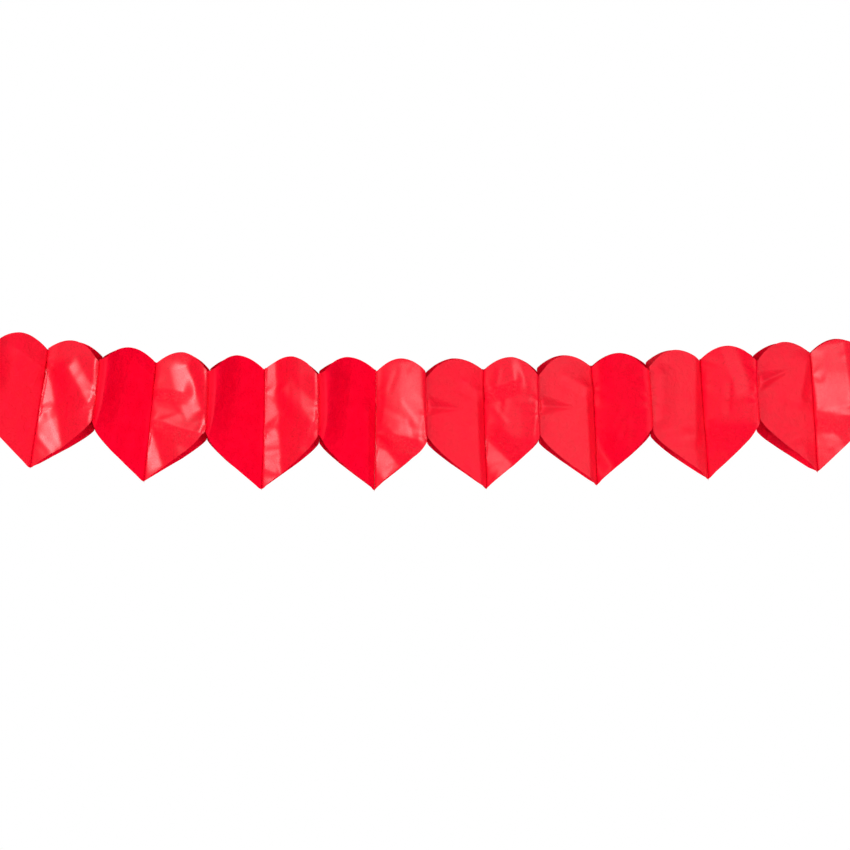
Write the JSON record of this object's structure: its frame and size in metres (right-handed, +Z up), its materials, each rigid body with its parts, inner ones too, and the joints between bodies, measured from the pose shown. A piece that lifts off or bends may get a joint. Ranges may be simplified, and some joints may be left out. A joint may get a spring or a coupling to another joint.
{
  "type": "paper heart garland",
  "caption": "Pull-out garland of red tissue-paper hearts, glued like a honeycomb and hung by its ends in a shallow curve.",
  "frame": {"origin": "middle of the bare face of the first heart's centre glue line, 97 mm above the heart's tip, where the left end is held", "axes": "+X along the garland from its left end to its right end, +Y away from the viewer, +Z up as it hangs"},
  "size_m": [1.062, 0.0782, 0.1895],
  "materials": {
    "red_tissue_paper": "thin red tissue paper with a slight sheen, soft creases and cockles"
  },
  "bodies": {
    "root": {"heart_1_left_sheet": "red_tissue_paper", "heart_1_right_sheet": "red_tissue_paper", "heart_2_left_sheet": "red_tissue_paper", "heart_2_right_sheet": "red_tissue_paper", "heart_3_left_sheet": "red_tissue_paper", "heart_3_right_sheet": "red_tissue_paper", "heart_4_left_sheet": "red_tissue_paper", "heart_4_right_sheet": "red_tissue_paper", "heart_5_left_sheet": "red_tissue_paper", "heart_5_right_sheet": "red_tissue_paper", "heart_6_left_sheet": "red_tissue_paper", "heart_6_right_sheet": "red_tissue_paper", "heart_7_left_sheet": "red_tissue_paper", "heart_7_right_sheet": "red_tissue_paper", "heart_8_left_sheet": "red_tissue_paper", "heart_8_right_sheet": "red_tissue_paper"}
  },
  "joints": []
}
